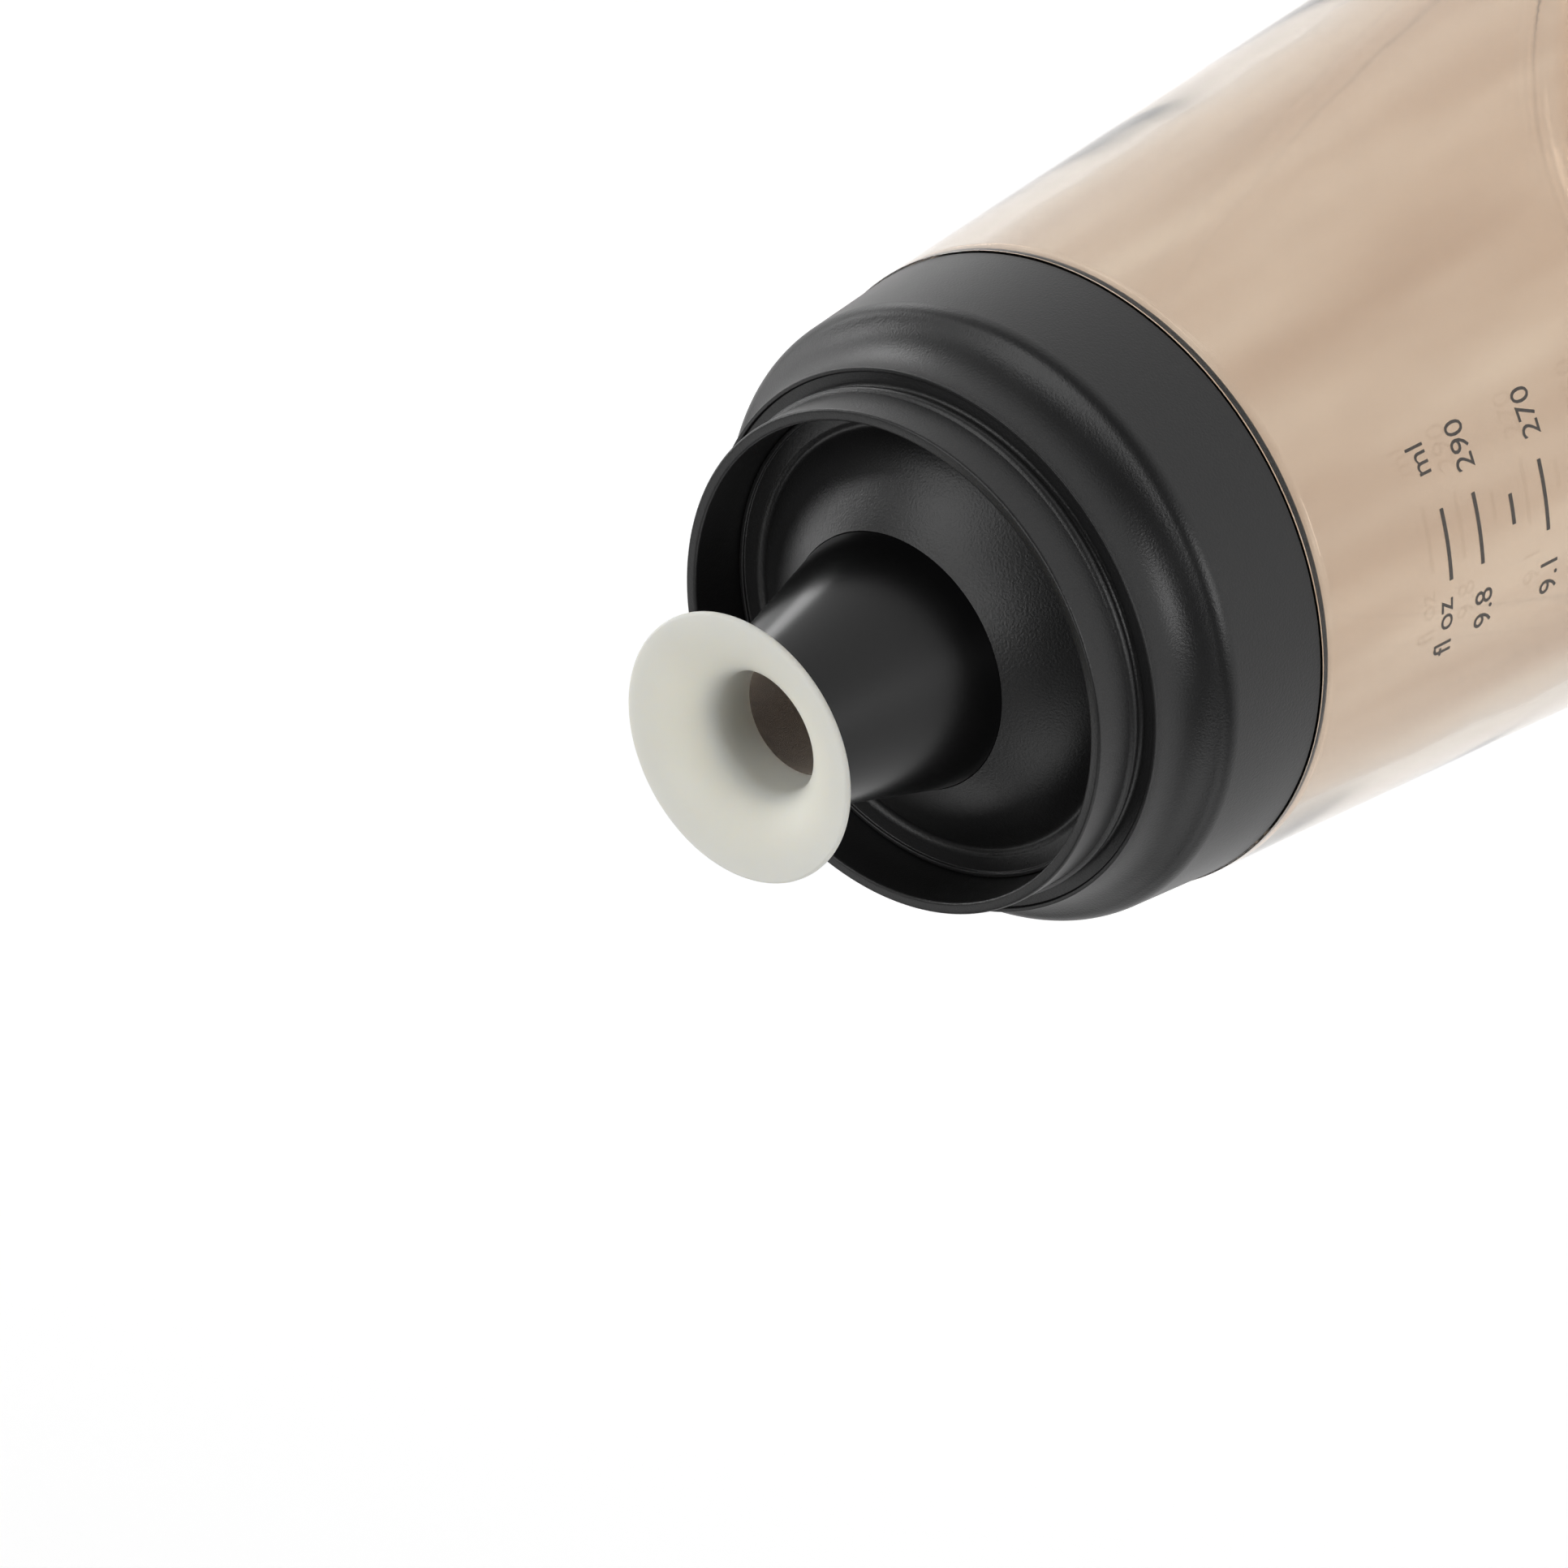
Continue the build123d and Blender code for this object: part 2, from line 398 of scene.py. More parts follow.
# Screen-printed ink, uneven where the screen's mesh let less through
SCALE_INK = Finish(
    "scale_ink",
    shades((0.08, 0.067, 0.058), 0.7, 1.3),
    roughness=(0.42, 0.58),
    patches=Pattern(0.0002, 1.0),
)


def start_piece() -> None:
    """Leaves edit mode and deselects everything, so that the next operator acts on the new piece alone."""
    if bpy.context.object is not None and bpy.context.object.mode != "OBJECT":
        bpy.ops.object.mode_set(mode="OBJECT")
    bpy.ops.object.select_all(action="DESELECT")


def pick(piece: Piece) -> None:
    """Makes a piece the only one selected, and active.

    Args:
        piece: The piece.
    """
    start_piece()
    piece.select_set(True)
    bpy.context.view_layer.objects.active = piece


def apply_modifier(piece: Piece, name: str, kind: str, **settings: object) -> None:
    """Adds a modifier to a piece and applies it.

    Args:
        piece: The piece.
        name: The modifier's name.
        kind: Its type.
        settings: Its settings.
    """
    modifier = piece.modifiers.new(name, kind)
    for setting, value in settings.items():
        setattr(modifier, setting, value)
    pick(piece)
    bpy.ops.object.modifier_apply(modifier=modifier.name)


@contextmanager
def mesh_editing() -> Iterator[None]:
    """Keeps the active piece in edit mode, at first with all of it selected.

    Yields:
        None. The operators find the piece themselves.
    """
    bpy.ops.object.mode_set(mode="EDIT")
    bpy.ops.mesh.select_all(action="SELECT")
    yield
    bpy.ops.object.mode_set(mode="OBJECT")


def face_outwards() -> None:
    """Turns all faces of the piece in edit mode outwards."""
    bpy.ops.mesh.select_all(action="SELECT")
    bpy.ops.mesh.normals_make_consistent(inside=False)


def arc(centre: Point, start: Point, end: Point, steps: int = ARC_STEPS) -> list[Point]:
    """Points on the shorter arc round a centre.

    Args:
        centre: The arc's centre.
        start: Where it starts, which sets its radius.
        end: A point on the ray where it ends.
        steps: How many points follow the start.

    Returns:
        The points after the start, the end among them.
    """
    radius = math.dist(centre, start)
    first = math.atan2(start[1] - centre[1], start[0] - centre[0])
    sweep = math.atan2(end[1] - centre[1], end[0] - centre[0]) - first
    sweep = (sweep + math.pi) % (2 * math.pi) - math.pi
    turns = [first + sweep * k / steps for k in range(1, steps + 1)]
    return [(centre[0] + radius * math.cos(t), centre[1] + radius * math.sin(t)) for t in turns]


def centre_of(start: Point, through: Point, end: Point) -> Point:
    """The centre of the circle through three points.

    Args:
        start: The first point.
        through: The second point.
        end: The third point.

    Returns:
        The centre.
    """
    a, b, c = (complex(*point) for point in (start, through, end))
    turned = (c - a) / (b - a)
    centre = a + (b - a) * (turned - abs(turned) ** 2) / (2j * turned.imag)
    return centre.real, centre.imag


def rolled_corner(start: Point, corner: Point, centre: Point, radius: float) -> tuple[Point, Point, Point]:
    """The round where a straight wall rolls over into a hollow.

    Args:
        start: A point of the wall.
        corner: The corner of the wall and the hollow.
        centre: The hollow's centre, outside the piece.
        radius: The radius of the round.

    Returns:
        The round's centre, and where it starts on the wall and ends in the hollow.
    """
    wall, hollow, middle = Vector(start), math.dist(centre, corner), Vector(centre)
    along = (Vector(corner) - wall).normalized()
    inwards = Vector((-along.y, along.x))
    offset = wall + inwards * radius - middle
    half = offset.dot(along)
    run = -half - math.sqrt(half**2 - offset.length_squared + (hollow + radius) ** 2)
    first = wall + along * run
    round_centre = first + inwards * radius
    last = middle + (round_centre - middle) * hollow / (hollow + radius)
    return tuple(round_centre), tuple(first), tuple(last)


def sweep_curve(start: Point, out: Point, back: Point, end: Point) -> list[Point]:
    """Points on a cubic curve.

    Args:
        start: Where it starts.
        out: The handle that it leaves towards.
        back: The handle that it arrives from.
        end: Where it ends.

    Returns:
        The points after the start, the end among them.
    """
    points, steps = [], 2 * ARC_STEPS
    for k in range(1, steps + 1):
        t = k / steps
        u = 1 - t
        shares = (u**3, 3 * u * u * t, 3 * u * t * t, t**3)
        parts = [(share * r, share * z) for share, (r, z) in zip(shares, (start, out, back, end))]
        points.append((sum(r for r, _ in parts), sum(z for _, z in parts)))
    return points


@dataclass
class Turned:
    """A piece turned about the bottle's axis.

    Attributes:
        name: The piece's name.
        outline: The corners of its outline, in order. It closes on itself, or its ends are on the axis.
        rise: How far it is lifted.
    """

    name: str
    outline: Sequence[Corner]
    rise: float = 0.0

    @property
    def corners(self) -> list[Point]:
        """The radii and heights of its corners."""
        return [(corner[0], corner[1] + self.rise) for corner in self.outline]

    def build(self) -> Piece:
        """Models the piece: one ring is extruded and scaled from corner to corner, closed, then rounded.

        Returns:
            The finished piece.
        """
        start_piece()
        corners = self.corners
        on_axis = corners[0][0] == 0
        rings = corners[1:-1] if on_axis else [*corners, corners[0]]
        radius, height = rings[0]
        bpy.ops.mesh.primitive_circle_add(vertices=SEGMENTS, radius=radius, location=(0, 0, height))
        piece = bpy.context.object
        piece.name = piece.data.name = self.name
        bpy.ops.object.transform_apply(location=True, rotation=True, scale=True)
        with mesh_editing():
            if on_axis:
                self.close_pole(corners[0][1] - height)
            for wanted, was in zip(rings[1:], rings):
                self.select_ring(was)
                share = wanted[0] / was[0]
                bpy.ops.mesh.extrude_edges_move(TRANSFORM_OT_translate={"value": (0, 0, wanted[1] - was[1])})
                bpy.ops.transform.resize(value=(share, share, 1.0), center_override=(0, 0, 0))
            if on_axis:
                self.select_ring(rings[-1])
                self.close_pole(corners[-1][1] - rings[-1][1])
            bpy.ops.mesh.select_all(action="SELECT")
            bpy.ops.mesh.remove_doubles(threshold=WELD)
            face_outwards()
            for place, corner in enumerate(self.outline):
                if len(corner) > 2:
                    self.round_corner(place, corner[2])
        smooth(piece)
        return piece

    @staticmethod
    def close_pole(rise: float) -> None:
        """Closes the selected ring with a fan to a pole that lies this far above it."""
        bpy.ops.mesh.extrude_edges_move(TRANSFORM_OT_translate={"value": (0, 0, rise)})
        bpy.ops.mesh.merge(type="CENTER")

    @staticmethod
    def select_ring(ring: Point) -> None:
        """Selects the edges of one ring, by their distance from the axis and their height.

        Args:
            ring: The ring's radius and height.
        """
        mesh = bmesh.from_edit_mesh(bpy.context.object.data)
        bpy.ops.mesh.select_all(action="DESELECT")
        bpy.ops.mesh.select_mode(type="EDGE")
        on_ring = set()
        for vert in mesh.verts:
            place = (math.hypot(vert.co.x, vert.co.y), vert.co.z)
            if all(abs(have - want) < RING_TOLERANCE for have, want in zip(place, ring)):
                on_ring.add(vert)
        for edge in mesh.edges:
            edge.select_set(on_ring.issuperset(edge.verts))
        bmesh.update_edit_mesh(bpy.context.object.data)

    def round_corner(self, place: int, size: float) -> None:
        """Rounds one corner of the outline with the bevel tool.

        Args:
            place: The corner's place in the outline.
            size: The radius of the round.
        """
        neighbours = (place, place - 1, (place + 1) % len(self.outline))
        here, back, ahead = (Vector(self.corners[k]) for k in neighbours)
        half = (back - here).normalized().angle((ahead - here).normalized()) / 2
        self.select_ring(tuple(here))
        bpy.ops.mesh.bevel(offset=size / math.tan(half), segments=ROUND_STEPS, profile=0.5, affect="EDGES")


def smooth(piece: Piece) -> None:
    """Shades a piece smooth up to its crisp corners, with the flat stretches kept flat.

    Args:
        piece: The piece, with its modelling done.
    """
    pick(piece)
    bpy.ops.object.shade_smooth_by_angle(angle=SMOOTH_ANGLE)
    apply_modifier(piece, "flat_stretches", "WEIGHTED_NORMAL", keep_sharp=True)


@dataclass(frozen=True)
class Thread:
    """A right-handed screw ridge about the bottle's axis.

    Attributes:
        root: The radius of the wall that it stands on.
        height: How far its crest stands off the wall, less than 0 towards the axis.
        start: The height of its middle where it starts.
        start_turn: The turn round the axis where it starts, as a share of a full one.
        turns: How many turns it makes.
        pitch: How far it climbs in a turn.
        root_width: Its width at the wall.
        crest_width: Its width at the crest.
        sunk: How far it reaches into the wall.
        run_out: The share of a turn in which each end fades into the wall.
        fade_share: How far into the wall a faded crest ends, as a share of sunk.
    """

    root: float
    height: float
    start: float
    start_turn: float = 0.0
    turns: float = 1.35
    pitch: float = 0.004
    root_width: float = 0.0019
    crest_width: float = 0.0008
    sunk: float = 0.0004
    run_out: float = 0.09
    fade_share: float = 0.25

    def build(self, name: str) -> Piece:
        """Models the ridge: its section is drawn, screwed up the axis, and its ends fade.

        Args:
            name: The piece's name.

        Returns:
            The ridge.
        """
        start_piece()
        bpy.ops.mesh.primitive_plane_add(size=1.0, location=(0, 0, 0))
        ridge = bpy.context.object
        ridge.name = ridge.data.name = name
        deep = self.root - math.copysign(self.sunk, self.height)
        slope = (self.root_width - self.crest_width) / 2 / abs(self.height)
        deep_half, crest_half = self.root_width / 2 + slope * self.sunk, self.crest_width / 2
        crest = self.root + self.height
        section = ((deep, -deep_half), (crest, -crest_half), (crest, crest_half), (deep, deep_half))
        order = sorted(ridge.data.vertices, key=lambda v: math.atan2(v.co.y, v.co.x))
        for vert, (radius, height) in zip(order, section):
            vert.co = (radius, 0.0, self.start + height)
        corners = [tuple(vert.co) for vert in ridge.data.vertices]
        steps = int(SEGMENTS * self.turns)
        apply_modifier(
            ridge,
            "climb",
            "SCREW",
            angle=2 * math.pi * self.turns,
            screw_offset=self.pitch * self.turns,
            steps=steps,
            render_steps=steps,
            use_merge_vertices=False,
        )
        self.lay_out(ridge, corners)
        with mesh_editing():
            bpy.ops.mesh.fill_holes(sides=len(section))
            face_outwards()
        return ridge

    def lay_out(self, ridge: Piece, corners: Sequence[tuple[float, float, float]]) -> None:
        """Lays the screwed sections right-handed from the starting turn, and fades both ends into the wall.

        Args:
            ridge: The screwed ridge, whose vertices follow one another section by section.
            corners: The drawn section's corners in their own order.
        """
        last = len(ridge.data.vertices) // len(corners) - 1
        sunk_root = self.root - math.copysign(self.sunk * self.fade_share, self.height)
        for vert in ridge.data.vertices:
            section, corner = divmod(vert.index, len(corners))
            radius, _, height = corners[corner]
            gone = self.turns * section / last
            fade = min(1.0, gone / self.run_out, (self.turns - gone) / self.run_out)
            if (radius - self.root) * self.height > 0:
                radius = sunk_root + (radius - sunk_root) * max(0.0, fade)
            turn = 2 * math.pi * (self.start_turn + gone)
            vert.co = (radius * math.cos(turn), radius * math.sin(turn), height + self.pitch * gone)


def fuse(piece: Piece, other: Piece) -> None:
    """Makes a piece and another one body, as moulded in one.

    Args:
        piece: The piece that stays.
        other: The one that becomes part of it.
    """
    apply_modifier(piece, "moulded_in_one", "BOOLEAN", operation="UNION", solver="EXACT", object=other)
    bpy.data.objects.remove(other)
    smooth(piece)


def dress(
    piece: Piece,
    material: Material,
    body: Body,
    node: str | None = None,
) -> None:
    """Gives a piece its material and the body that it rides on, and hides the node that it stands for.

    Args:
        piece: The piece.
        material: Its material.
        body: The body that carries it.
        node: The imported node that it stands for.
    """
    piece.data.materials.clear()
    piece.data.materials.append(material)
    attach(piece, body.value)
    if node is not None:
        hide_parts(node)
    LOG.info("%s rides on %s, %d faces", piece.name, body.value, len(piece.data.polygons))


@dataclass
class Beaker:
    """The clear tumbler: one tapered shell with a stepped-in neck, its screw ridge and the printed scale."""

    shoulder_height: float = 0.116
    base_radius: float = 0.037
    shoulder_radius: float = 0.02825
    wall: float = 0.002
    floor: float = 0.003
    base_corner: float = 0.004
    inside_corner: float = 0.0035
    foot_ring: float = 0.003
    recess: float = 0.0008
    foot_round: float = 0.00035
    shoulder_round: float = 0.0001
    inner_shoulder_round: float = 0.0009
    neck_radius: float = 0.0248
    neck_wall: float = 0.0018
    neck_height: float = 0.0092
    neck_root_round: float = 0.0006
    neck_rim_round: float = 0.0005
    ridge_height: float = 0.0009
    ridge_drop: float = 0.0072

    @property
    def neck_top(self) -> float:
        """The height of the neck's rim."""
        return self.shoulder_height + self.neck_height

    @property
    def taper(self) -> float:
        """How much the outside narrows for each metre of height."""
        return (self.base_radius - self.shoulder_radius) / self.shoulder_height

    @property
    def side_wall(self) -> float:
        """The wall measured straight across the axis."""
        return self.wall * math.hypot(1.0, self.taper)

    @property
    def inner_floor_radius(self) -> float:
        """The inner radius at the floor, before its corner is rounded."""
        return self.base_radius - self.taper * self.floor - self.side_wall

    def outer_radius(self, height: float) -> float:
        """The outer radius at a height below the shoulder."""
        return self.base_radius - self.taper * height

    def build(self, plastic: Material, ink: Material) -> None:
        """Models and dresses the shell and prints its scale.

        Args:
            plastic: The shell's material.
            ink: The scale's material.
        """
        shell = self.shell()
        ridge = Thread(self.neck_radius, self.ridge_height, self.neck_top - self.ridge_drop)
        fuse(shell, ridge.build("neck_ridge"))
        dress(shell, plastic, Body.BEAKER, "beaker")
        for print_piece in Scale(self).build():
            dress(print_piece, ink, Body.BEAKER)

    def shell(self) -> Piece:
        """Models the tumbler.

        Returns:
            The shell, without its screw ridge.
        """
        foot = self.base_radius - self.base_corner - self.foot_ring
        neck_bore = self.neck_radius - self.neck_wall
        inner_shoulder = self.shoulder_height - self.wall
        inner_radius = self.shoulder_radius - self.side_wall + self.taper * self.wall
        outline = (
            (0.0, self.recess),
            (foot, self.recess, self.foot_round),
            (foot + self.recess, 0.0, self.foot_round),
            (self.base_radius, 0.0, self.base_corner),
            (self.shoulder_radius, self.shoulder_height, self.shoulder_round),
            (self.neck_radius, self.shoulder_height, self.neck_root_round),
            (self.neck_radius, self.neck_top, self.neck_rim_round),
            (neck_bore, self.neck_top, self.neck_rim_round),
            (neck_bore, inner_shoulder, self.inner_shoulder_round),
            (inner_radius, inner_shoulder, self.inner_shoulder_round),
            (self.inner_floor_radius, self.floor, self.inside_corner),
            (0.0, self.floor),
        )
        return Turned("beaker_shell", outline).build()


@dataclass
class Scale:
    """The printed scale: ticks with millilitres on their right and fluid ounces on their left.

    Places round the beaker count from its middle line to the right.
    A digit of a font of size 1 is as high as digit_share.
    """

    beaker: Beaker
    most: int = 290
    least: int = 30
    step: int = 10
    ml_per_fl_oz: float = 29.5735
    facing: float = -math.pi / 2
    tick_width: float = 0.00042
    long_tick: Span = (-0.0030, 0.0033)
    short_tick: Span = (-0.0010, 0.0017)
    head_rise: float = 0.0039
    head_text_rise: float = 0.00095
    digit_height: float = 0.0021
    digit_share: float = 0.70
    curve_steps: int = 3
    ml_edge: float = 0.0097
    fl_oz_middle: float = -0.0071
    proud: float = 0.00005
    film: float = 0.00003
    print_drop: float = 0.0009
    unit_inset: float = 0.0004

    def height_of(self, millilitres: float) -> float:
        """The height of a mark: where this much fills the beaker, less what the whole print lies lower.

        Args:
            millilitres: The fill.

        Returns:
            The height of its mark.
        """
        slope = self.beaker.taper
        low = self.beaker.inner_floor_radius
        top = (low**3 - 3 * slope * millilitres * MILLILITRE / math.pi) ** (1 / 3)
        return self.beaker.floor + (low - top) / slope - self.print_drop

    def build(self) -> list[Piece]:
        """Prints the ticks and both rows of numbers.

        Returns:
            The printed pieces.
        """
        head = self.height_of(self.most) + self.head_rise
        text = head + self.head_text_rise
        ticks = [self.tick(self.long_tick, head)]
        ml = [self.words("ml", self.ml_edge - self.unit_inset, text, Side.RIGHT)]
        fl_oz = [self.words("fl oz", self.fl_oz_middle, text, Side.CENTRE)]
        for fill in range(self.most, self.least - 1, -self.step):
            height = self.height_of(fill)
            is_long = (self.most - fill) % (2 * self.step) == 0
            ticks.append(self.tick(self.long_tick if is_long else self.short_tick, height))
            if is_long:
                ml.append(self.words(str(fill), self.ml_edge, height, Side.RIGHT))
                ounces = f"{fill / self.ml_per_fl_oz:.1f}"
                fl_oz.append(self.words(ounces, self.fl_oz_middle, height, Side.CENTRE))
        rows = (("scale_ticks", ticks), ("scale_ml", ml), ("scale_fl_oz", fl_oz))
        return [self.lay_on(name, pieces) for name, pieces in rows]

    def tick(self, ends: Span, height: float) -> Piece:
        """Draws one tick, flat: x runs round the beaker and y up it.

        Args:
            ends: Its left and right end.
            height: Its height.

        Returns:
            The flat tick.
        """
        start_piece()
        bpy.ops.mesh.primitive_plane_add(size=1.0, location=((ends[0] + ends[1]) / 2, height, 0))
        tick = bpy.context.object
        tick.scale = (ends[1] - ends[0], self.tick_width, 1.0)
        bpy.ops.object.transform_apply(location=True, rotation=True, scale=True)
        with mesh_editing():
            bpy.ops.mesh.subdivide(number_cuts=ARC_STEPS)
        return tick

    def words(self, text: str, place: float, height: float, side: Side) -> Piece:
        """Sets a number or unit, flat.

        Args:
            text: What it says.
            place: Where its edge or middle stands round the beaker.
            height: The height of its middle.
            side: Which of its edges stands at place.

        Returns:
            The flat print.
        """
        start_piece()
        bpy.ops.object.text_add(location=(0, 0, 0))
        line = bpy.context.object
        line.data.body = text
        line.data.size = self.digit_height / self.digit_share
        line.data.align_x = side.value
        line.data.resolution_u = self.curve_steps
        bpy.ops.object.convert(target="MESH")
        for vert in line.data.vertices:
            vert.co.x += place
            vert.co.y += height - self.digit_height / 2
        return line

    def lay_on(self, name: str, pieces: Sequence[Piece]) -> Piece:
        """Joins flat prints, wraps them round the beaker and gives them the ink's thickness.

        Args:
            name: The joined piece's name.
            pieces: The flat prints.

        Returns:
            The print on the beaker.
        """
        start_piece()
        for piece in pieces:
            piece.select_set(True)
        bpy.context.view_layer.objects.active = pieces[0]
        bpy.ops.object.join()
        joined = bpy.context.object
        joined.name = joined.data.name = name
        for vert in joined.data.vertices:
            around, height, _ = vert.co
            radius = self.beaker.outer_radius(height)
            turn = self.facing + around / radius
            out = radius + self.proud
            vert.co = (out * math.cos(turn), out * math.sin(turn), height)
        apply_modifier(joined, "ink_film", "SOLIDIFY", thickness=self.film, offset=-1.0)
        with mesh_editing():
            face_outwards()
        return joined


@dataclass
class ScrewLid:
    """The matte black lid: collar, the seal under it, and the drip dish inside its neck.

    Its heights are above the collar's edge, which stands at base.
    """

    base: float
    collar_radius: float = 0.0281
    edge_drop: float = 0.0002
    band_height: float = 0.0103
    band_top_radius: float = 0.02715
    band_top_round: float = 0.0018
    cove_top_height: float = 0.0159
    cove_top_radius: float = 0.0239
    cove_hollow: float = 0.00085
    lip_land: float = 0.0004
    groove_depth: float = 0.00025
    neck_radius: float = 0.0221
    neck_bore: float = 0.02105
    neck_height: float = 0.0209
    rim_round: float = 0.00025
    bead_height: float = 0.0166
    bead_proud: float = 0.0004
    bead_half_width: float = 0.0005
    bead_steps: int = 6
    skirt_bore: float = 0.0259
    skirt_chamfer: float = 0.0005
    ridge_height: float = 0.0009
    ridge_start: float = 0.0014
    ridge_start_turn: float = 0.35
    edge_round: float = 0.0003
    crisp_round: float = 0.0001
    neck_root_round: float = 0.0004
    throat_radius: float = 0.0192
    insert_seat: float = 0.0124
    ceiling: float = 0.0107
    seal_bottom: float = 0.0092
    seal_thickness: float = 0.0014
    seal_outer: float = 0.025
    seal_width: float = 0.0022
    seal_recess: float = 0.0252
    seal_round: float = 0.00025
    dish_wall: float = 0.0012
    flange_radius: float = 0.021
    flange_bottom: float = 0.0132
    hub_radius: float = 0.01915
    ledge_height: float = 0.0152
    ledge_inner_round: float = 0.0005
    ledge_rim_width: float = 0.0004
    ledge_rim_rise: float = 0.00025
    ledge_rim_round: float = 0.00012
    gutter_height: float = 0.0148
    gutter_round: float = 0.0005
    hub_depth: float = 0.0012
    dome_foot_radius: float = 0.0186
    dome_top_height: float = 0.0202
    dome_hole_radius: float = 0.01134
    dome_curve: float = 0.03

    def build(self, plastic: Material, rubber: Material) -> None:
        """Models and dresses the collar, the lid seal and the drip dish.

        Args:
            plastic: The collar's and the dish's material.
            rubber: The seal's material.
        """
        collar = self.collar()
        start = self.base + self.ridge_start
        ridge = Thread(self.skirt_bore, -self.ridge_height, start, self.ridge_start_turn)
        fuse(collar, ridge.build("skirt_ridge"))
        dress(collar, plastic, Body.LID, "lid_collar")
        dress(self.drip_dish(), plastic, Body.LID, "drip_dish")
        dress(self.seal(), rubber, Body.LIFT, "lid_seal")

    def collar(self) -> Piece:
        """Models the collar: band, cove, groove and cap neck outside, skirt and seats inside.

        Returns:
            The collar, without its screw ridge.
        """
        band_top = (self.band_top_radius, self.band_height)
        cove_top = (self.cove_top_radius, self.cove_top_height)
        cove_middle = tuple((low + high) / 2 - self.cove_hollow for low, high in zip(band_top, cove_top))
        land = self.cove_top_radius - self.lip_land
        groove = self.cove_top_height - self.groove_depth
        bead_low = (self.neck_radius, self.bead_height - self.bead_half_width)
        bead_high = (self.neck_radius, self.bead_height + self.bead_half_width)
        bead_top = (self.neck_radius + self.bead_proud, self.bead_height)
        start = (self.collar_radius, -self.edge_drop)
        cove_centre = centre_of(band_top, cove_middle, cove_top)
        bend_centre, bend_start, bend_end = rolled_corner(start, band_top, cove_centre, self.band_top_round)
        outline = [
            (*start, self.crisp_round),
            bend_start,
            *arc(bend_centre, bend_start, bend_end),
            *arc(cove_centre, bend_end, cove_top, 2 * ARC_STEPS)[:-1],
            (*cove_top, self.crisp_round),
            (land, self.cove_top_height, self.crisp_round),
            (land, groove, self.crisp_round),
            (self.neck_radius, groove, self.neck_root_round),
            bead_low,
            *arc(centre_of(bead_low, bead_top, bead_high), bead_low, bead_high, self.bead_steps),
            (self.neck_radius, self.neck_height, self.rim_round),
            (self.neck_bore, self.neck_height, self.rim_round),
            (self.neck_bore, self.insert_seat),
            (self.throat_radius, self.insert_seat),
            (self.throat_radius, self.ceiling),
            (self.seal_recess, self.ceiling),
            (self.seal_recess, self.seal_bottom),
            (self.skirt_bore, self.seal_bottom, self.edge_round),
            (self.skirt_bore, -self.edge_drop, self.skirt_chamfer),
        ]
        return Turned("collar", outline, self.base).build()

    def drip_dish(self) -> Piece:
        """Models the dish: flange, ledge, gutter and the dome round the spout, all of even wall.

        Returns:
            The dish.
        """
        top = (self.dome_hole_radius, self.dome_top_height)
        foot = (self.dome_foot_radius, self.gutter_height)
        centre = self.dome_centre()
        under_top = self.under_dome(top[0], self.dish_wall)
        under_foot = self.under_dome(self.hub_radius - self.dish_wall, self.dish_wall)
        hub_bottom = self.flange_bottom - self.hub_depth
        rim = self.flange_radius - self.ledge_rim_width
        rim_top = self.ledge_height + self.ledge_rim_rise
        outline = [
            top,
            *arc(centre, top, foot)[:-1],
            (*foot, self.gutter_round),
            (self.hub_radius, self.ledge_height, self.ledge_inner_round),
            (rim, self.ledge_height, self.ledge_rim_round),
            (rim, rim_top, self.ledge_rim_round),
            (self.flange_radius, rim_top, self.ledge_rim_round),
            (self.flange_radius, self.flange_bottom),
            (self.hub_radius, self.flange_bottom),
            (self.hub_radius, hub_bottom),
            (under_foot[0], hub_bottom),
            under_foot,
            *arc(centre, under_foot, under_top),
        ]
        return Turned("dish", outline, self.base).build()

    def under_dome(self, radius: float, depth: float) -> Point:
        """The point under the dome at a radius and a depth below its skin."""
        centre = self.dome_centre()
        return (radius, centre[1] + math.sqrt((self.dome_curve - depth) ** 2 - (radius - centre[0]) ** 2))

    def dome_centre(self) -> Point:
        """The centre on which both faces of the dome are struck.

        Returns:
            The centre.
        """
        top = (self.dome_hole_radius, self.dome_top_height)
        foot = (self.dome_foot_radius, self.gutter_height)
        run, rise = foot[0] - top[0], foot[1] - top[1]
        chord = math.hypot(run, rise)
        reach = math.sqrt(self.dome_curve**2 - (chord / 2) ** 2)
        return ((top[0] + foot[0]) / 2 + rise / chord * reach, (top[1] + foot[1]) / 2 - run / chord * reach)

    def seal(self) -> Piece:
        """Models the flat ring between the beaker's rim and the lid.

        Returns:
            The seal.
        """
        inner, outer = self.seal_outer - self.seal_width, self.seal_outer
        low, high = self.seal_bottom, self.seal_bottom + self.seal_thickness
        corners = ((inner, low), (outer, low), (outer, high), (inner, high))
        return Turned("flat_seal", [(*corner, self.seal_round) for corner in corners], self.base).build()


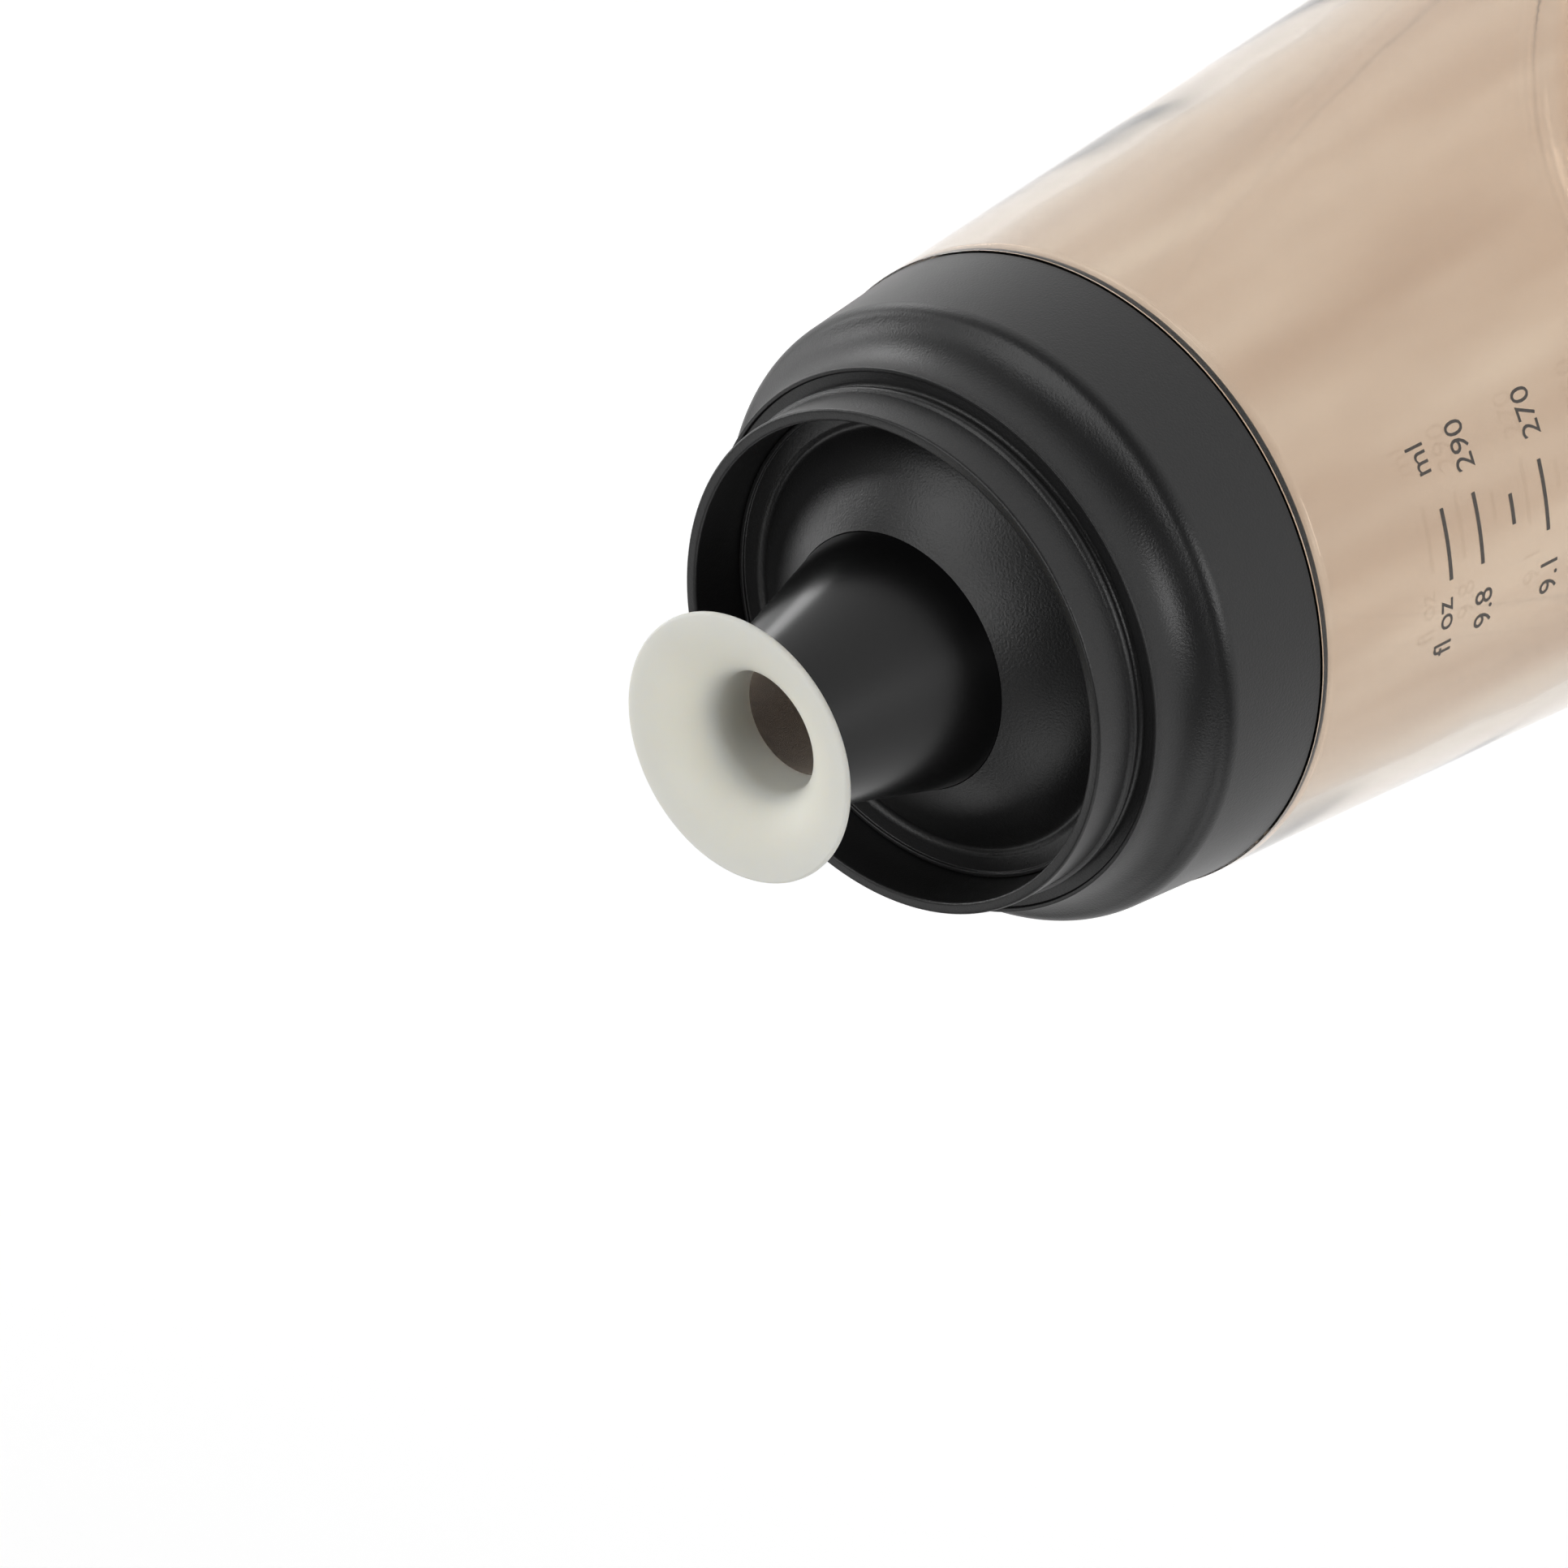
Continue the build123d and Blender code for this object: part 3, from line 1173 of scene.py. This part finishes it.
@dataclass
class Pourer:
    """The satin black spout and the soft white lip in its tip."""

    lid: ScrewLid
    fit: float = 0.00005
    tip_radius: float = 0.00693
    tip_height: float = 0.0364
    wall: float = 0.0013
    foot_wall: float = 0.0012
    foot_trim: float = 0.0005
    socket_radius: float = 0.00595
    socket_depth: float = 0.0045
    tip_round: float = 0.00025
    lip_radius: float = 0.0117
    lip_rise: float = 0.0035
    lip_bore: float = 0.0053
    lip_edge: float = 0.0006
    lip_edge_round: float = 0.00025
    face_share: float = 0.35
    throat_share: float = 0.6
    root_share: float = 0.3
    under_share: float = 0.45
    throat_depth: float = 0.0008
    sleeve_short: float = 0.0003
    seat_clearance: float = 0.0001

    def build(self, plastic: Material, silicone: Material) -> None:
        """Models and dresses the spout and the lip.

        Args:
            plastic: The spout's material.
            silicone: The lip's material.
        """
        dress(self.spout(), plastic, Body.LID, "spout")
        dress(self.lip(), silicone, Body.LIP, "pour_lip")

    def spout(self) -> Piece:
        """Models the spout: its foot under the dome, the cone and the lip's socket.

        Returns:
            The spout.
        """
        lid, centre = self.lid, self.lid.dome_centre()
        foot_height = lid.under_dome(lid.hub_radius - lid.dish_wall, lid.dish_wall)[1] + self.foot_trim
        skin = lid.dish_wall + self.fit
        outer_radius = lid.dome_hole_radius - self.fit
        nest_top = lid.under_dome(outer_radius, skin)
        bore_base = lid.under_dome(outer_radius - self.wall, skin + self.foot_wall)
        drop = foot_height - centre[1]
        foot_outer, foot_inner = (
            (centre[0] + math.sqrt((lid.dome_curve - depth) ** 2 - drop**2), foot_height)
            for depth in (skin, skin + self.foot_wall)
        )
        outline = [
            foot_outer,
            *arc(centre, foot_outer, nest_top),
            (outer_radius, lid.dome_top_height),
            (self.tip_radius, self.tip_height, self.tip_round),
            (self.socket_radius, self.tip_height),
            (self.socket_radius, self.tip_height - self.socket_depth),
            (*bore_base, self.wall / 2),
            *arc(centre, bore_base, foot_inner),
        ]
        return Turned("pouring_cone", outline, lid.base).build()

    def lip(self) -> Piece:
        """Models the lip: sleeve, seat and the trumpet that opens to a thin edge.

        Returns:
            The lip.
        """
        sleeve = self.socket_radius - self.fit
        sleeve_bottom = self.tip_height - self.socket_depth + self.sleeve_short
        seat_out = (self.tip_radius, self.tip_height + self.seat_clearance)
        high = (self.lip_radius, self.tip_height + self.lip_rise)
        low = (self.lip_radius, high[1] - self.lip_edge)
        bore = (self.lip_bore, self.tip_height - self.throat_depth)
        reach = self.lip_radius - self.tip_radius
        under_out = tuple(near + (far - near) * self.root_share for near, far in zip(seat_out, low))
        under_back = (low[0] - reach * self.under_share, low[1])
        mouth = self.lip_radius - self.lip_bore
        over_out = (high[0] - mouth * self.face_share, high[1])
        over_back = (bore[0], bore[1] + (high[1] - bore[1]) * self.throat_share)
        outline = [
            bore,
            (self.lip_bore, sleeve_bottom),
            (sleeve, sleeve_bottom),
            (sleeve, seat_out[1]),
            seat_out,
            *sweep_curve(seat_out, under_out, under_back, low)[:-1],
            (*low, self.lip_edge_round),
            (*high, self.lip_edge_round),
            *sweep_curve(high, over_out, over_back, bore)[:-1],
        ]
        return Turned("soft_lip", outline, self.lid.base).build()


@dataclass(frozen=True)
class Lamp:
    """A soft lamp, aimed at the lid.

    Attributes:
        name: The lamp's name.
        azimuth: Its direction round the bottle in degrees, 0 in front and 90 on the right.
        elevation: Its height above the horizon in degrees.
        size: The length and width of its face.
        power: Its power in watts.
        distance: How far it stands from the lid.
    """

    name: str
    azimuth: float
    elevation: float
    size: Span
    power: float
    distance: float = 0.9


def towards(azimuth: float, elevation: float) -> Vector:
    """The direction at an azimuth and elevation in degrees, 0 in front of the bottle and 90 on its right."""
    a, e = math.radians(azimuth), math.radians(elevation)
    return Vector((math.sin(a) * math.cos(e), -math.cos(a) * math.cos(e), math.sin(e)))


@dataclass
class Studio:
    """The floor, the surroundings, the lamps and the camera.

    The floor glows more from near to far, over glow_reach.
    The backdrop darkens upwards, over backdrop_height.
    """

    view_azimuth: float = 28.42
    view_elevation: float = 41.44
    view_roll: float = -119.37
    view_distance: float = 0.78294
    view_aim: tuple[float, float, float] = (-0.00379, -0.00205, 0.15357)
    focal_pixels: float = 12000.0
    picture_pixels: float = 1932.0
    sensor_width: float = 36.0
    clip: Span = (0.01, 10.0)
    floor_size: float = 6.0
    floor_colour: Colour = (0.8, 0.8, 0.8)
    floor_glow: Span = (0.4, 1.0)
    glow_reach: Span = (0.5, 1.6)
    backdrop_level: Span = (0.22, 0.0)
    backdrop_height: Span = (0.12, 0.5)
    lamp_aim: tuple[float, float, float] = (0.0, 0.0, 0.135)
    lamps: Sequence[Lamp] = (
        Lamp("front_left", -72.0, 27.0, (0.5, 0.6), 1.5),
        Lamp("high_right", 105.0, 50.0, (0.5, 0.5), 2.6),
        Lamp("behind_left", -152.0, 41.0, (0.4, 0.4), 0.9),
        Lamp("front_low", 2.0, 12.0, (0.3, 0.3), 2.15),
        Lamp("back_low", 172.0, 14.0, (0.3, 0.3), 1.1),
        Lamp("left_low", -110.0, 12.0, (0.3, 0.3), 0.45),
        Lamp("top", 60.0, 85.0, (0.4, 0.4), 2.1),
        Lamp("high_left", -75.0, 60.0, (0.4, 0.4), 0.17),
        Lamp("right_low", 150.0, 14.0, (0.15, 0.25), 1.46),
        Lamp("near_low", 136.0, -20.0, (0.08, 0.16), 0.16, distance=0.30),
    )

    def build(self) -> None:
        """Sets up everything round the bottle."""
        self.floor()
        self.world()
        for lamp in self.lamps:
            self.lamp(lamp)
        self.camera()

    def floor(self) -> None:
        """Lays the pale floor, which glows up to white where no shadow falls, and is clear from below."""
        start_piece()
        bpy.ops.mesh.primitive_plane_add(size=self.floor_size, location=(0, 0, 0))
        ground = bpy.context.object
        ground.name = "studio_floor"
        material = bpy.data.materials.new("pale_floor")
        sheet = NodeSheet(material)
        away = sheet.combine("VectorMath", "LENGTH", sheet.add("TexCoord").outputs["Object"])
        seen = sheet.any_ray("Is Camera Ray", "Is Glossy Ray", "Is Transmission Ray")
        near_to_far = sheet.spread(away, self.glow_reach, self.floor_glow, EASED)
        level = sheet.combine("Math", "MULTIPLY", seen, near_to_far)
        matt = sheet.add("BsdfDiffuse", Color=(*self.floor_colour, 1.0))
        glow = sheet.add("Emission", Color=WHITE)
        sheet.join(level, glow.inputs["Strength"])
        both = sheet.add("AddShader")
        sheet.join(matt.outputs["BSDF"], both.inputs[0])
        sheet.join(glow.outputs["Emission"], both.inputs[1])
        below = sheet.add("NewGeometry").outputs["Backfacing"]
        clear = sheet.add("BsdfTransparent").outputs["BSDF"]
        sheet.surface(sheet.mix(below, both.outputs["Shader"], clear))
        ground.data.materials.append(material)

    def world(self) -> None:
        """Surrounds the bottle with a pale backdrop that darkens upwards, and is white where it is seen."""
        world = bpy.data.worlds.new("studio")
        bpy.context.scene.world = world
        sheet = NodeSheet(world)
        split = sheet.add("SeparateXYZ")
        sheet.join(sheet.add("TexCoord").outputs["Generated"], split.inputs["Vector"])
        height = sheet.spread(split.outputs["Z"], self.backdrop_height, self.backdrop_level, EASED)
        seen = sheet.any_ray("Is Camera Ray", "Is Transmission Ray")
        sky = sheet.add("Background", Color=WHITE)
        sheet.join(sheet.combine("Math", "MAXIMUM", seen, height), sky.inputs["Strength"])
        sheet.surface(sky.outputs["Background"], "OutputWorld")

    def lamp(self, lamp: Lamp) -> None:
        """Hangs one lamp.

        Args:
            lamp: Where it hangs and how strong it is.
        """
        light = bpy.data.lights.new(lamp.name, "AREA")
        light.shape = "RECTANGLE"
        light.size, light.size_y = lamp.size
        light.energy = lamp.power
        hung = bpy.data.objects.new(lamp.name, light)
        bpy.context.scene.collection.objects.link(hung)
        way = towards(lamp.azimuth, lamp.elevation)
        hung.visible_camera = False
        hung.location = Vector(self.lamp_aim) + way * lamp.distance
        hung.rotation_euler = (-way).to_track_quat("-Z", "Y").to_euler()

    def camera(self) -> None:
        """Places the camera at the photograph's angle: over the lid, turned so that the bottle pours."""
        lens = bpy.data.cameras.new("camera")
        lens.sensor_width = self.sensor_width
        lens.lens = self.focal_pixels / self.picture_pixels * lens.sensor_width
        lens.clip_start, lens.clip_end = self.clip
        camera = bpy.data.objects.new("camera", lens)
        bpy.context.scene.collection.objects.link(camera)
        way = towards(self.view_azimuth, self.view_elevation)
        level = (-way).to_track_quat("-Z", "Y").to_matrix().to_4x4()
        place = Matrix.Translation(Vector(self.view_aim) + way * self.view_distance)
        camera.matrix_world = place @ level @ Matrix.Rotation(math.radians(self.view_roll), 4, "Z")
        bpy.context.scene.camera = camera


def main() -> None:
    """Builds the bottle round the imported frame, lights it and sets the camera."""
    logging.basicConfig(level=logging.INFO, format="%(name)s: %(message)s")
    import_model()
    bpy.context.scene.view_settings.view_transform = "Standard"

    Beaker().build(CLEAR_BEAKER.build(), SCALE_INK.build())
    seal = SEAL_SILICONE.build()
    lid = ScrewLid(base=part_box("lid_collar")[0].z)
    lid.build(MATTE_BLACK.build(), seal)
    Pourer(lid).build(SATIN_BLACK.build(), WHITE_SILICONE.build())
    hidden_seal = bpy.data.objects["insert_seal"]
    hidden_seal.data.materials.clear()
    hidden_seal.data.materials.append(seal)
    LOG.info("insert_seal keeps its packed mesh")
    Studio().build()


if __name__ == "__main__":
    main()
